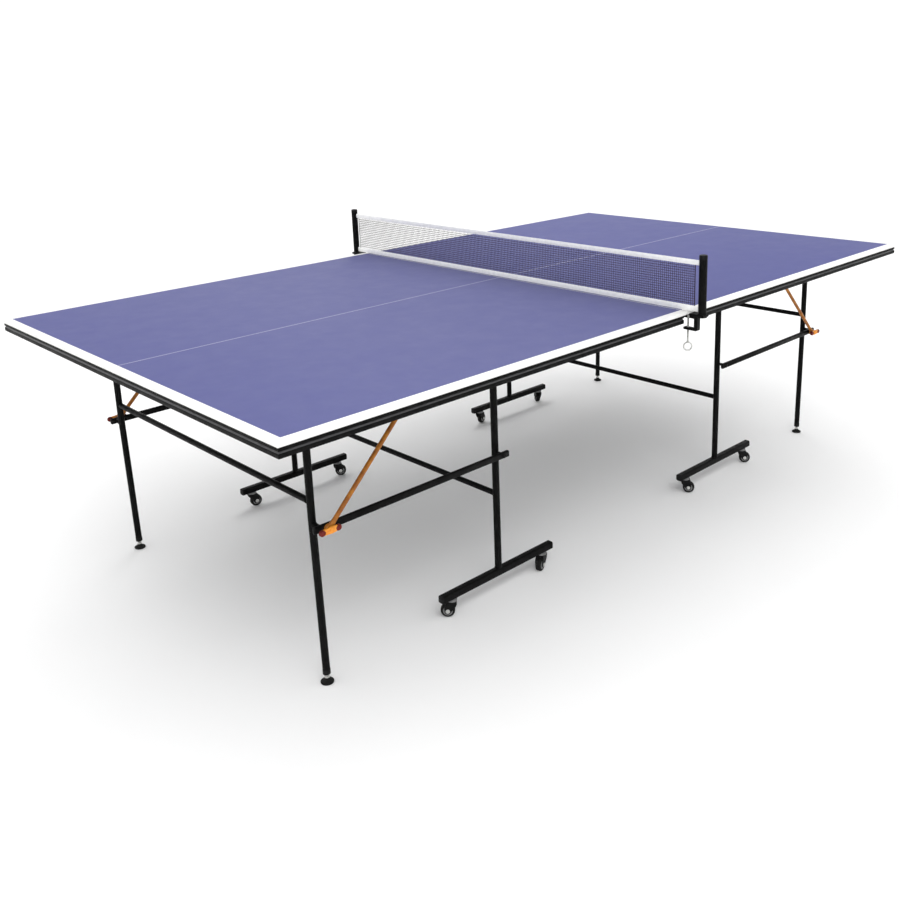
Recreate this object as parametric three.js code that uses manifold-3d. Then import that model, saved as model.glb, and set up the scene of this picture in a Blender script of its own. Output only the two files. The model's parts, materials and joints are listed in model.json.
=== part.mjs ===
// Folding ping pong table. Each half is its own wheeled trolley: two posts on base bars
// with swivel casters carry the top, which turns on the post heads until it stands upright.
// An end leg frame hangs from the top near its outer end, and link bars keep it plumb.
// A net set is clamped to the inner corners of the right half.
//
// Millimetres, +Z up. The origin is on the floor under the middle of the net, +X runs
// along the table towards the right half, and -Y is the front side.

import * as THREE from 'three';
import { mergeVertices } from 'three/addons/utils/BufferGeometryUtils.js';
import Module from 'manifold-3d';

const wasm = await Module();
wasm.setup();

// ---- Driving dimensions ----

const TOP_LENGTH = 2740;
const TOP_WIDTH = 1525;
const TOP_HEIGHT = 760;
const BOARD_THICKNESS = 12;
const HALVES_GAP = 5;
const NET_HEIGHT = 152.5;

const GAP = 0.3; // left between pieces that touch
const TUBE_WALL = 1.5;
const TUBE_SIDES = 16;
const PIN_SIDES = 12;

// Steel frame under each board: channel bars, open towards the board.
const FRAME_HEIGHT = 25;
const FRAME_BAR = 20;
const FRAME_INSET = 1;
const FRAME_WALL = 2;
const RAIL_Y = 522;
const INNER_RIB_X = 300;
const LOCK_RIB_X = 855;
const LEFT_FRAME_START = 12;
const RIGHT_FRAME_START = 52; // leaves bare board for the net clamp

// Trolley: posts, base bars and crossbar.
const TROLLEY_X = 548;
const POST_Y = 518;
const POST_RADIUS = 10;
const BASE_BAR_SIZE = 22;
const BASE_BAR_Z = 64;
const BASE_BAR_LENGTH = 440;
const TROLLEY_CROSSBAR_Z = 302;
const CROSSBAR_RADIUS = 8;

// The four-bar linkage: board hinges above, link pivots below.
const HINGE_Z = 700;
const LINK_Z = 426;
const LEG_X = 1150;
const LEG_Y = 516;
const LEG_RADIUS = 9.5;
const LEG_BEND_Z = 455;
const LEG_BOTTOM_Z = 24;
const LEG_CROSSBAR_Z = 484;
const FOOT_X = 1142;
const TUBE_HEAD = 8; // tube above its hinge pin

const EAR_THICKNESS = 6;
const EAR_RADIUS = 10;
const EAR_SLOT = 7;
const EAR_SLOT_DEPTH = 14;
const HINGE_PIN_RADIUS = 4;
const PIVOT_RADIUS = 5;
const PIVOT_HEAD_RADIUS = 8;
const RUNNING_CLEARANCE = 0.3;

const LINK_INNER_Y = 545;
const LINK_THICKNESS = 10;
const LINK_HEIGHT = 18;
const LINK_OVERHANG = 20;

// Lock strut and its lever, on one pin outside the link bar.
const STRUT_X = 1135;
const STRUT_PIN_RADIUS = 4;
const STRUT_INNER_Y = 557.5;
const STRUT_EYE_THICKNESS = 12;
const STRUT_EYE_RADIUS = 11;
const STRUT_ROD_RADIUS = 6;
const STRUT_TOP_X = 853;
const STRUT_TOP_Z = 706;
const STRUT_CATCH_LENGTH = 15;
const LEVER_THICKNESS = 8;
const LEVER_RADIUS = 9;
const LEVER_TIP_RADIUS = 7.5;
const LEVER_OUTER_REACH = 27;
const LEVER_INNER_REACH = 19;

// Casters and feet.
const CASTER_SPACING = 180;
const CASTER_TRAIL = 12;
const WHEEL_RADIUS = 20;
const WHEEL_WIDTH = 18;
const WHEEL_SEGMENTS = 16;
const AXLE_RADIUS = 3;
const FORK_PLATE_RADIUS = 15;
const FORK_CHEEK = 2.5;
const CROWN_TOP = 48; // of the fork, just clear of the wheel
const CROWN_THICKNESS = 6;
const FOOT_RADIUS = 17;
const FOOT_SEGMENTS = 16;

// Net set.
const NET_POST_Y = 814;
const NET_POST_RADIUS = 12;
const NET_POST_TOP = 930;
const NET_THICKNESS = 2;
const NET_CLEAR_OF_TOP = 2;
const CLAMP_X = 26;
const CLAMP_WIDTH = 16;
const CLAMP_PLATE = 7;
const CLAMP_BACK_Y = 774;
const CLAMP_BACK = 12;
const CLAMP_REACH = 728;
const CLAMP_JAW_Z = 698;
const ARM_BOTTOM = 751; // arm from the clamp out to the net post, below the net
const SCREW_Y = 750;
const SCREW_RADIUS = 3;
const SCREW_RING_Z = 646;
const SCREW_RING_RADIUS = 12;

// ---- Values worked out from them ----

const BOARD_END = TOP_LENGTH / 2;
const BOARD_EDGE_Y = TOP_WIDTH / 2;
const BOARD_BOTTOM = TOP_HEIGHT - BOARD_THICKNESS;
const FRAME_TOP = BOARD_BOTTOM - GAP;
const FRAME_BOTTOM = BOARD_BOTTOM - FRAME_HEIGHT;
const BASE_BAR_TOP = BASE_BAR_Z + BASE_BAR_SIZE / 2;
const BASE_BAR_BOTTOM = BASE_BAR_Z - BASE_BAR_SIZE / 2;
const TUBE_TOP = HINGE_Z + TUBE_HEAD;
const STRUT_MID_Y = STRUT_INNER_Y + STRUT_EYE_THICKNESS / 2;
const LEVER_INNER_Y = STRUT_INNER_Y + STRUT_EYE_THICKNESS + 0.5;

const SIDES = [['front', -1], ['back', 1]];
const HALVES = [
  { name: 'left', outward: -1, frameStart: LEFT_FRAME_START },
  { name: 'right', outward: 1, frameStart: RIGHT_FRAME_START },
];

// How far each caster has swung round, degrees, as they come to rest after rolling.
const CASTER_TURNS = {
  left_front_inner: 20, left_front_outer: 316, left_back_inner: 146, left_back_outer: 170,
  right_front_inner: 304, right_front_outer: 310, right_back_inner: 15, right_back_outer: 60,
};

// ---- Materials ----

function finish(color, roughness, metalness) {
  return new THREE.MeshStandardMaterial({ color, roughness, metalness });
}

const MATERIALS = {
  blueTop: () => finish(0x666b9c, 0.45, 0),
  blackSteel: () => finish(0x141414, 0.45, 0.6),
  orangeSteel: () => finish(0xc8741e, 0.4, 0.4),
  orangePlastic: () => finish(0xe88a1c, 0.4, 0),
  blackRubber: () => finish(0x1c1c1c, 0.8, 0),
  greySteel: () => finish(0xb8b8b4, 0.35, 0.8),
  netFabric: () => finish(0x2f3138, 0.9, 0),
};

// ---- Shapes ----

function box(x0, x1, y0, y1, z0, z1) {
  const shape = new THREE.BoxGeometry(Math.abs(x1 - x0), Math.abs(y1 - y0), Math.abs(z1 - z0));
  return shape.translate((x0 + x1) / 2, (y0 + y1) / 2, (z0 + z1) / 2);
}

// A round bar of the given radius between two points.
function rod(radius, from, to, sides = PIN_SIDES) {
  const start = new THREE.Vector3(...from);
  const end = new THREE.Vector3(...to);
  const along = end.clone().sub(start);
  const shape = new THREE.CylinderGeometry(radius, radius, along.length(), sides);
  const turn = new THREE.Quaternion().setFromUnitVectors(new THREE.Vector3(0, 1, 0), along.normalize());
  const middle = start.add(end).multiplyScalar(0.5);
  return shape.applyQuaternion(turn).translate(middle.x, middle.y, middle.z);
}

// A closed mesh as a solid that can be joined and cut.
function solid(geometry) {
  const bare = geometry.clone();
  bare.deleteAttribute('normal');
  bare.deleteAttribute('uv');
  const merged = mergeVertices(bare, 1e-4);
  return new wasm.Manifold(new wasm.Mesh({
    numProp: 3,
    vertProperties: merged.attributes.position.array,
    triVerts: new Uint32Array(merged.index.array),
  }));
}

function join(geometries) {
  return geometries.map(solid).reduce((whole, next) => whole.add(next));
}

function cut(body, geometries) {
  return geometries.map(solid).reduce((rest, next) => rest.subtract(next), body);
}

function geometryOf(body) {
  const result = body.getMesh();
  const geometry = new THREE.BufferGeometry();
  geometry.setAttribute('position', new THREE.BufferAttribute(result.vertProperties, 3));
  geometry.setIndex(new THREE.BufferAttribute(result.triVerts, 1));
  const faceted = geometry.toNonIndexed();
  faceted.computeVertexNormals();
  return faceted;
}

function addPart(parent, name, geometry, material) {
  const part = new THREE.Mesh(geometry, material());
  part.name = name;
  parent.add(part);
  return part;
}

// ---- Top: board and steel frame ----
// These functions work in a half's own frame: x outward from the net, y across, z up.

function board() {
  return box(HALVES_GAP / 2, BOARD_END, -BOARD_EDGE_Y, BOARD_EDGE_Y, BOARD_BOTTOM, TOP_HEIGHT);
}

// The bays between the frame's bars: x0, x1, y0, y1.
function frameBays(start) {
  const half = FRAME_BAR / 2;
  const first = start + FRAME_BAR;
  const last = BOARD_END - FRAME_INSET - FRAME_BAR;
  const railInner = RAIL_Y - half;
  const railOuter = RAIL_Y + half;
  const edge = BOARD_EDGE_Y - FRAME_INSET - FRAME_BAR;
  const between = (ribs) => {
    const lows = [first, ...ribs.map((x) => x + half)];
    const highs = [...ribs.map((x) => x - half), last];
    return lows.map((low, i) => [low, highs[i]]);
  };
  const middle = between([INNER_RIB_X, LEG_X]).map((span) => [...span, -railInner, railInner]);
  const outer = between([INNER_RIB_X, LOCK_RIB_X]);
  return [
    ...middle,
    ...outer.map((span) => [...span, railOuter, edge]),
    ...outer.map((span) => [...span, -edge, -railOuter]),
  ];
}

// A grid of bars: a block of the frame's outline, less its bays, with every bar made
// thinner by the inset on each side.
function barGrid(start, inset, z0, z1) {
  const end = BOARD_END - FRAME_INSET - inset;
  const edge = BOARD_EDGE_Y - FRAME_INSET - inset;
  const block = join([box(start + inset, end, -edge, edge, z0, z1)]);
  const bays = frameBays(start).map(([x0, x1, y0, y1]) => (
    box(x0 - inset, x1 + inset, y0 - inset, y1 + inset, z0 - 1, z1 + 1)
  ));
  return cut(block, bays);
}

// An upright plate drawn in x and z about a pin, and laid from y0 to y1.
function uprightPlate(outline, x, z, y0, y1) {
  const depth = Math.abs(y1 - y0);
  const plate = new THREE.ExtrudeGeometry(outline, { depth, bevelEnabled: false, curveSegments: 5 });
  return plate.rotateX(Math.PI / 2).translate(x, Math.max(y0, y1), z);
}

function pinHole(radius) {
  const hole = new THREE.Path();
  hole.absarc(0, 0, radius + RUNNING_CLEARANCE, 0, Math.PI * 2, true);
  return hole;
}

// A hinge plate that hangs from the frame and turns inside a slotted tube head.
function ear(x, y) {
  const rise = FRAME_BOTTOM + FRAME_WALL / 2 - HINGE_Z;
  const outline = new THREE.Shape();
  outline.moveTo(EAR_RADIUS, rise);
  outline.lineTo(-EAR_RADIUS, rise);
  outline.absarc(0, 0, EAR_RADIUS, Math.PI, Math.PI * 2, false);
  outline.holes.push(pinHole(HINGE_PIN_RADIUS));
  return uprightPlate(outline, x, HINGE_Z, y - EAR_THICKNESS / 2, y + EAR_THICKNESS / 2);
}

// The block that the strut's catch bears against.
function striker(side) {
  const y = side * STRUT_MID_Y;
  const reach = STRUT_CATCH_LENGTH / 2;
  const low = STRUT_TOP_Z + STRUT_ROD_RADIUS + 1.5;
  return box(LOCK_RIB_X - 8, LOCK_RIB_X + 8, y - reach, y + reach, low, FRAME_BOTTOM + FRAME_WALL / 2);
}

function topFrame(start) {
  const hinges = [-1, 1].flatMap((side) => [[TROLLEY_X, side * POST_Y], [LEG_X, side * LEG_Y]]);
  const bars = barGrid(start, 0, FRAME_BOTTOM, FRAME_TOP);
  const hollow = barGrid(start, FRAME_WALL, FRAME_BOTTOM + FRAME_WALL, FRAME_TOP + 1);
  const fittings = [...hinges.map(([x, y]) => ear(x, y)), striker(-1), striker(1)];
  return geometryOf(bars.subtract(hollow).add(join(fittings)));
}

// ---- Trolley ----

// The slot across a tube's head that an ear turns in.
function headSlot(x, y, radius) {
  const half = EAR_SLOT / 2;
  return box(x - radius - 1, x + radius + 1, y - half, y + half, HINGE_Z - EAR_SLOT_DEPTH, TUBE_TOP + 1);
}

function headPin(x, y, radius) {
  const half = radius - TUBE_WALL / 2;
  return rod(HINGE_PIN_RADIUS, [x, y - half, HINGE_Z], [x, y + half, HINGE_Z], 8);
}

function acrossRod(radius, x, side, y0, y1, z) {
  return rod(radius, [x, side * y0, z], [x, side * y1, z]);
}

function post(side) {
  const y = side * POST_Y;
  const bottom = BASE_BAR_TOP + GAP;
  const linkOuter = LINK_INNER_Y + LINK_THICKNESS;
  const boreRadius = POST_RADIUS - TUBE_WALL;
  const tube = join([rod(POST_RADIUS, [TROLLEY_X, y, bottom], [TROLLEY_X, y, TUBE_TOP], TUBE_SIDES)]);
  const bore = rod(boreRadius, [TROLLEY_X, y, bottom - 1], [TROLLEY_X, y, TUBE_TOP + 1], TUBE_SIDES);
  const shell = cut(tube, [bore, headSlot(TROLLEY_X, y, POST_RADIUS)]);
  const pins = join([
    acrossRod(PIVOT_RADIUS, TROLLEY_X, side, POST_Y + POST_RADIUS - 1, linkOuter + 1, LINK_Z),
    acrossRod(PIVOT_HEAD_RADIUS, TROLLEY_X, side, linkOuter + 0.4, linkOuter + 3.4, LINK_Z),
  ]);
  return geometryOf(shell.add(pins).add(join([headPin(TROLLEY_X, y, POST_RADIUS)])));
}

function baseBar(side) {
  const half = BASE_BAR_SIZE / 2;
  const y = side * POST_Y;
  const x0 = TROLLEY_X - BASE_BAR_LENGTH / 2;
  const x1 = TROLLEY_X + BASE_BAR_LENGTH / 2;
  const bore = half - TUBE_WALL;
  const bar = join([box(x0, x1, y - half, y + half, BASE_BAR_BOTTOM, BASE_BAR_TOP)]);
  const hollow = box(x0 - 1, x1 + 1, y - bore, y + bore, BASE_BAR_Z - bore, BASE_BAR_Z + bore);
  return geometryOf(cut(bar, [hollow]));
}

function crossbar(x, z, reach) {
  const bar = join([rod(CROSSBAR_RADIUS, [x, -reach, z], [x, reach, z], TUBE_SIDES)]);
  const bore = rod(CROSSBAR_RADIUS - TUBE_WALL, [x, -reach - 1, z], [x, reach + 1, z], TUBE_SIDES);
  return geometryOf(cut(bar, [bore]));
}

// ---- Casters: built around the swivel axis, with the wheel trailing along +x ----

function forkCheek(y) {
  const outline = new THREE.Shape();
  outline.moveTo(-FORK_PLATE_RADIUS + 3, CROWN_TOP);
  outline.lineTo(CASTER_TRAIL - 8, WHEEL_RADIUS);
  outline.absarc(CASTER_TRAIL, WHEEL_RADIUS, 8, Math.PI, 2 * Math.PI, false);
  outline.lineTo(FORK_PLATE_RADIUS + 1, CROWN_TOP);
  outline.closePath();
  return uprightPlate(outline, 0, 0, y - FORK_CHEEK / 2, y + FORK_CHEEK / 2);
}

function fork() {
  const cheekY = WHEEL_WIDTH / 2 + 1 + FORK_CHEEK / 2;
  const outer = cheekY + FORK_CHEEK / 2;
  const plateTop = BASE_BAR_BOTTOM - GAP;
  return geometryOf(join([
    rod(FORK_PLATE_RADIUS, [0, 0, CROWN_TOP - 1], [0, 0, plateTop]),
    box(-FORK_PLATE_RADIUS + 3, FORK_PLATE_RADIUS + 1, -outer, outer, CROWN_TOP - CROWN_THICKNESS, CROWN_TOP),
    forkCheek(-cheekY),
    forkCheek(cheekY),
    rod(AXLE_RADIUS, [CASTER_TRAIL, -outer - 2, WHEEL_RADIUS], [CASTER_TRAIL, outer + 2, WHEEL_RADIUS], 8),
  ]));
}

// Built around its own axle, which lies along y.
function wheel() {
  const half = WHEEL_WIDTH / 2;
  const hub = AXLE_RADIUS + RUNNING_CLEARANCE;
  const tread = half - 3;
  const profile = [[hub, -half], [WHEEL_RADIUS, -tread], [WHEEL_RADIUS, tread], [hub, half], [hub, -half]];
  return new THREE.LatheGeometry(profile.map(([r, y]) => new THREE.Vector2(r, y)), WHEEL_SEGMENTS);
}

// ---- End leg frame ----

// The leg's tube is plumb down to the bend and then slants in to the foot.
function legTube(y, radius, extra) {
  const top = TUBE_TOP + extra;
  const bottom = LEG_BOTTOM_Z - extra;
  const tube = new THREE.CylinderGeometry(radius, radius, top - bottom, TUBE_SIDES, 2);
  tube.rotateX(Math.PI / 2).translate(LEG_X, y, (top + bottom) / 2);
  const points = tube.attributes.position;
  for (let i = 0; i < points.count; i += 1) {
    const z = points.getZ(i);
    if (z < bottom + 1) {
      points.setX(i, points.getX(i) + FOOT_X - LEG_X);
    } else if (z < top - 1) {
      points.setZ(i, LEG_BEND_Z);
    }
  }
  return tube;
}

function leg(side) {
  const y = side * LEG_Y;
  const linkOuter = LINK_INNER_Y + LINK_THICKNESS;
  const bore = legTube(y, LEG_RADIUS - TUBE_WALL, 1);
  const shell = cut(join([legTube(y, LEG_RADIUS, 0)]), [bore, headSlot(LEG_X, y, LEG_RADIUS)]);
  const pivot = join([
    acrossRod(PIVOT_HEAD_RADIUS, LEG_X, side, LEG_Y + LEG_RADIUS - 2.5, LINK_INNER_Y - 0.5, LINK_Z),
    acrossRod(PIVOT_RADIUS, LEG_X, side, LINK_INNER_Y - 1, linkOuter + 1, LINK_Z),
    acrossRod(PIVOT_HEAD_RADIUS, LEG_X, side, linkOuter + 0.4, linkOuter + 1.9, LINK_Z),
  ]);
  return geometryOf(shell.add(pivot).add(join([headPin(LEG_X, y, LEG_RADIUS)])));
}

// A levelling foot with its screw, built around its own axis and standing on z = 0.
function foot() {
  const profile = [[0, 0], [FOOT_RADIUS, 0], [FOOT_RADIUS, 4], [5, 11], [5, 42], [0, 42]];
  const shape = new THREE.LatheGeometry(profile.map(([r, z]) => new THREE.Vector2(r, z)), FOOT_SEGMENTS);
  return shape.rotateX(Math.PI / 2);
}

// ---- Linkage ----

function linkBar(side) {
  const x0 = TROLLEY_X - LINK_OVERHANG;
  const x1 = LEG_X + LINK_OVERHANG;
  const outer = LINK_INNER_Y + LINK_THICKNESS;
  const half = LINK_HEIGHT / 2;
  const inside = half - TUBE_WALL;
  const y = (distance) => side * distance;
  const bar = join([box(x0, x1, y(LINK_INNER_Y), y(outer), LINK_Z - half, LINK_Z + half)]);
  const bore = box(
    x0 - 1, x1 + 1, y(LINK_INNER_Y + TUBE_WALL), y(outer - TUBE_WALL), LINK_Z - inside, LINK_Z + inside,
  );
  const holes = [TROLLEY_X, LEG_X].map((x) => (
    acrossRod(PIVOT_RADIUS + RUNNING_CLEARANCE, x, side, LINK_INNER_Y - 1, outer + 1, LINK_Z)
  ));
  const leverOuter = LEVER_INNER_Y + LEVER_THICKNESS;
  const strutPin = join([
    acrossRod(STRUT_PIN_RADIUS, STRUT_X, side, LINK_INNER_Y + 1, leverOuter + 1, LINK_Z),
    acrossRod(STRUT_PIN_RADIUS + 3, STRUT_X, side, leverOuter + 0.4, leverOuter + 2.4, LINK_Z),
  ]);
  return geometryOf(cut(bar, [bore, ...holes]).add(strutPin));
}

function strut(side) {
  const y = side * STRUT_MID_Y;
  const outer = STRUT_INNER_Y + STRUT_EYE_THICKNESS;
  const reach = STRUT_CATCH_LENGTH / 2;
  const body = join([
    acrossRod(STRUT_EYE_RADIUS, STRUT_X, side, STRUT_INNER_Y, outer, LINK_Z),
    rod(STRUT_ROD_RADIUS, [STRUT_X, y, LINK_Z], [STRUT_TOP_X, y, STRUT_TOP_Z], 12),
    rod(STRUT_ROD_RADIUS, [STRUT_TOP_X, y - reach, STRUT_TOP_Z], [STRUT_TOP_X, y + reach, STRUT_TOP_Z], 12),
  ]);
  const hole = acrossRod(
    STRUT_PIN_RADIUS + RUNNING_CLEARANCE, STRUT_X, side, STRUT_INNER_Y - 2, outer + 2, LINK_Z,
  );
  return geometryOf(cut(body, [hole]));
}

// The hand lever: a short grip that rocks on the strut's pin and lies along the link bar,
// round at both ends and widest at the pin.
function leverOutline() {
  const outline = new THREE.Shape();
  const tip = LEVER_TIP_RADIUS;
  const outer = LEVER_OUTER_REACH;
  const inner = LEVER_INNER_REACH;
  outline.absarc(outer, 0, tip, -Math.PI / 2, Math.PI / 2, false);
  outline.quadraticCurveTo(outer / 2, tip, 0, LEVER_RADIUS);
  outline.quadraticCurveTo(-inner / 2, tip, -inner, tip);
  outline.absarc(-inner, 0, tip, Math.PI / 2, Math.PI * 1.5, false);
  outline.quadraticCurveTo(-inner / 2, -tip, 0, -LEVER_RADIUS);
  outline.quadraticCurveTo(outer / 2, -tip, outer, -tip);
  outline.holes.push(pinHole(STRUT_PIN_RADIUS));
  return outline;
}

function lever(side) {
  const y0 = side * LEVER_INNER_Y;
  const y1 = side * (LEVER_INNER_Y + LEVER_THICKNESS);
  return uprightPlate(leverOutline(), STRUT_X, LINK_Z, y0, y1);
}

// ---- Net set, in the table's frame ----

function net() {
  const reach = NET_POST_Y - NET_POST_RADIUS - 0.5;
  const half = NET_THICKNESS / 2;
  return box(-half, half, -reach, reach, TOP_HEIGHT + NET_CLEAR_OF_TOP, TOP_HEIGHT + NET_HEIGHT);
}

// A C-clamp round the board's edge, with an arm out to the net post.
function netBracket(side) {
  const y = (distance) => side * distance;
  const x0 = CLAMP_X - CLAMP_WIDTH / 2;
  const x1 = CLAMP_X + CLAMP_WIDTH / 2;
  const jawTop = TOP_HEIGHT + GAP + CLAMP_PLATE;
  const backOuter = CLAMP_BACK_Y + CLAMP_BACK;
  const armEnd = NET_POST_Y + NET_POST_RADIUS + 2;
  const body = join([
    box(x0, x1, y(CLAMP_REACH), y(backOuter), TOP_HEIGHT + GAP, jawTop),
    box(x0, x1, y(CLAMP_BACK_Y), y(backOuter), CLAMP_JAW_Z, jawTop),
    box(x0, x1, y(SCREW_Y - 12), y(backOuter), CLAMP_JAW_Z, CLAMP_JAW_Z + CLAMP_PLATE),
    box(-NET_POST_RADIUS - 2, x1, y(CLAMP_BACK_Y), y(armEnd), ARM_BOTTOM, ARM_BOTTOM + CLAMP_PLATE),
    rod(NET_POST_RADIUS + 2, [0, y(NET_POST_Y), ARM_BOTTOM - 2], [0, y(NET_POST_Y), TOP_HEIGHT]),
    rod(NET_POST_RADIUS, [0, y(NET_POST_Y), ARM_BOTTOM], [0, y(NET_POST_Y), NET_POST_TOP]),
  ]);
  const holeRadius = SCREW_RADIUS + RUNNING_CLEARANCE;
  const holeTop = CLAMP_JAW_Z + CLAMP_PLATE + 1;
  const screwHole = rod(holeRadius, [CLAMP_X, y(SCREW_Y), CLAMP_JAW_Z - 1], [CLAMP_X, y(SCREW_Y), holeTop]);
  return geometryOf(cut(body, [screwHole]));
}

// A clamp screw with a pressure pad on top and a ring to turn it by.
function clampScrew(side) {
  const y = side * SCREW_Y;
  const padTop = BOARD_BOTTOM - GAP;
  const ring = new THREE.TorusGeometry(SCREW_RING_RADIUS, 2.2, 6, 16);
  ring.rotateX(Math.PI / 2).rotateZ(-Math.PI / 4).translate(CLAMP_X, y, SCREW_RING_Z);
  return geometryOf(join([
    rod(SCREW_RADIUS, [CLAMP_X, y, SCREW_RING_Z + SCREW_RING_RADIUS], [CLAMP_X, y, padTop - 1], 12),
    rod(8, [CLAMP_X, y, padTop - 3], [CLAMP_X, y, padTop]),
    ring,
  ]));
}

// ---- Assembly ----

function addCaster(half, name, x, y) {
  const caster = new THREE.Group();
  caster.position.set(x, y, 0);
  caster.rotation.z = THREE.MathUtils.degToRad(CASTER_TURNS[name]);
  addPart(caster, `${name}_caster_fork`, fork(), MATERIALS.blackSteel);
  const roller = addPart(caster, `${name}_caster_wheel`, wheel(), MATERIALS.blackRubber);
  roller.position.set(CASTER_TRAIL, 0, WHEEL_RADIUS);
  half.add(caster);
}

function addSide(half, name, side) {
  addPart(half, `${name}_post`, post(side), MATERIALS.blackSteel);
  addPart(half, `${name}_base_bar`, baseBar(side), MATERIALS.blackSteel);
  addPart(half, `${name}_leg`, leg(side), MATERIALS.blackSteel);
  addPart(half, `${name}_foot`, foot(), MATERIALS.blackRubber).position.set(FOOT_X, side * LEG_Y, 0);
  addPart(half, `${name}_link_bar`, linkBar(side), MATERIALS.blackSteel);
  addPart(half, `${name}_lock_strut`, strut(side), MATERIALS.orangeSteel);
  addPart(half, `${name}_lock_lever`, lever(side), MATERIALS.orangePlastic);
  addCaster(half, `${name}_inner`, TROLLEY_X - CASTER_SPACING, side * POST_Y);
  addCaster(half, `${name}_outer`, TROLLEY_X + CASTER_SPACING, side * POST_Y);
}

// The left half is the right half turned half round about the middle of the net.
function addHalf(table, { name, outward, frameStart }) {
  const half = new THREE.Group();
  half.rotation.z = outward > 0 ? 0 : Math.PI;
  addPart(half, `${name}_board`, board(), MATERIALS.blueTop);
  addPart(half, `${name}_top_frame`, topFrame(frameStart), MATERIALS.blackSteel);
  const trolleyReach = POST_Y - POST_RADIUS - GAP;
  const legReach = LEG_Y - LEG_RADIUS - GAP;
  addPart(half, `${name}_trolley_crossbar`, crossbar(TROLLEY_X, TROLLEY_CROSSBAR_Z, trolleyReach),
    MATERIALS.blackSteel);
  addPart(half, `${name}_leg_crossbar`, crossbar(LEG_X, LEG_CROSSBAR_Z, legReach), MATERIALS.blackSteel);
  for (const [sideName, side] of SIDES) {
    addSide(half, `${name}_${sideName}`, side * outward);
  }
  table.add(half);
}

function addNetSet(table) {
  addPart(table, 'net', net(), MATERIALS.netFabric);
  for (const [sideName, side] of SIDES) {
    addPart(table, `${sideName}_net_bracket`, netBracket(side), MATERIALS.blackSteel);
    addPart(table, `${sideName}_clamp_screw`, clampScrew(side), MATERIALS.greySteel);
  }
}

const table = new THREE.Group();
for (const half of HALVES) {
  addHalf(table, half);
}
addNetSet(table);

export default table;
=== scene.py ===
"""Folding ping pong table: two wheeled halves, end legs with link bars and orange lock
struts, and a clamp-on net.

Lengths are millimetres until a shape becomes a mesh. Most pieces are made in a half's own
frame, where x points outward from the net, and the left half is the same pieces turned
half round about the middle of the net.
"""

import json
import math

import bmesh
import bpy
from mathutils import Matrix, Vector


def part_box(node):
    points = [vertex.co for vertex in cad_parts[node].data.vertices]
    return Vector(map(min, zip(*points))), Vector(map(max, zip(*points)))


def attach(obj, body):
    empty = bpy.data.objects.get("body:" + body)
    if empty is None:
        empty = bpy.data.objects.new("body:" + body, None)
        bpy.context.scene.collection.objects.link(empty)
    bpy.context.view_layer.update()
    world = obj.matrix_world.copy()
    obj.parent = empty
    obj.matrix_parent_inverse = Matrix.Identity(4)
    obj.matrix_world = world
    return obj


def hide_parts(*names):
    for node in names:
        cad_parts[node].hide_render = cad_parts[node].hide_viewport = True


MM = 0.001
ROUND_SIDES = 28
SMALL_SIDES = 16

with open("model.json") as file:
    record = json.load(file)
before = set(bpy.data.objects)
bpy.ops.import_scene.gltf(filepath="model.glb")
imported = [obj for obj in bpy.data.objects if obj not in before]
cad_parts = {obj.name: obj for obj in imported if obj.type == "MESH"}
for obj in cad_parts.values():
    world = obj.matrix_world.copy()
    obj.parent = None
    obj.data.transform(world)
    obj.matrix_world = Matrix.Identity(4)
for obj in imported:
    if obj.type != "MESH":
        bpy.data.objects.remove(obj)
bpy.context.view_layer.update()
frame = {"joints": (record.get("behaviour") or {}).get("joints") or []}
scene = bpy.context.scene
joints = {j["name"]: j for j in frame["joints"]}


# ---- Places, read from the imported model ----

def corners(node):
    """A node's lowest and highest corner in millimetres."""
    low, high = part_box(node)
    return low / MM, high / MM


def pivot(joint):
    """A joint's place in millimetres."""
    return Vector(joints[joint]["pos_m"]) / MM


BOARD_LOW, BOARD_HIGH = corners("right_board")
FRAME_LOW, FRAME_HIGH = corners("right_top_frame")
LEFT_FRAME_LOW, LEFT_FRAME_HIGH = corners("left_top_frame")
HINGE = pivot("right_fold")
LEG_HINGE = pivot("right_leg_fold")
LINK_PIVOT = pivot("right_back_link_turn")
STRUT_PIVOT = pivot("right_back_strut_turn")
FOOT_PLACE = pivot("right_back_foot_screw")
BAR_LOW, BAR_HIGH = corners("right_back_base_bar")
LINK_LOW, LINK_HIGH = corners("right_back_link_bar")
STRUT_LOW, STRUT_HIGH = corners("right_back_lock_strut")
LEVER_LOW, LEVER_HIGH = corners("right_back_lock_lever")
CROSS_LOW, CROSS_HIGH = corners("right_trolley_crossbar")
LEG_CROSS_LOW, LEG_CROSS_HIGH = corners("right_leg_crossbar")
NET_LOW, NET_HIGH = corners("net")
BRACKET_LOW, BRACKET_HIGH = corners("back_net_bracket")

TOP_Z = BOARD_HIGH.z
BOARD_Z = BOARD_LOW.z
BOARD_EDGE = BOARD_HIGH.y
BOARD_END = BOARD_HIGH.x
POST_X = HINGE.x
POST_Y = (BAR_LOW.y + BAR_HIGH.y) / 2
BAR_Z = (BAR_LOW.z + BAR_HIGH.z) / 2
LEG_X = LEG_HINGE.x
LEG_Y = FOOT_PLACE.y
LINK_Z = LINK_PIVOT.z
LINK_OUTER = 2 * LINK_PIVOT.y - LINK_LOW.y

HALVES = {"left": -1, "right": 1}
SIDES = {"front": -1, "back": 1}
TURN = {
    "left": Matrix.Rotation(math.pi, 4, "Z"),
    "right": Matrix.Identity(4),
    "table": Matrix.Identity(4),
}


# ---- Materials ----

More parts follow.
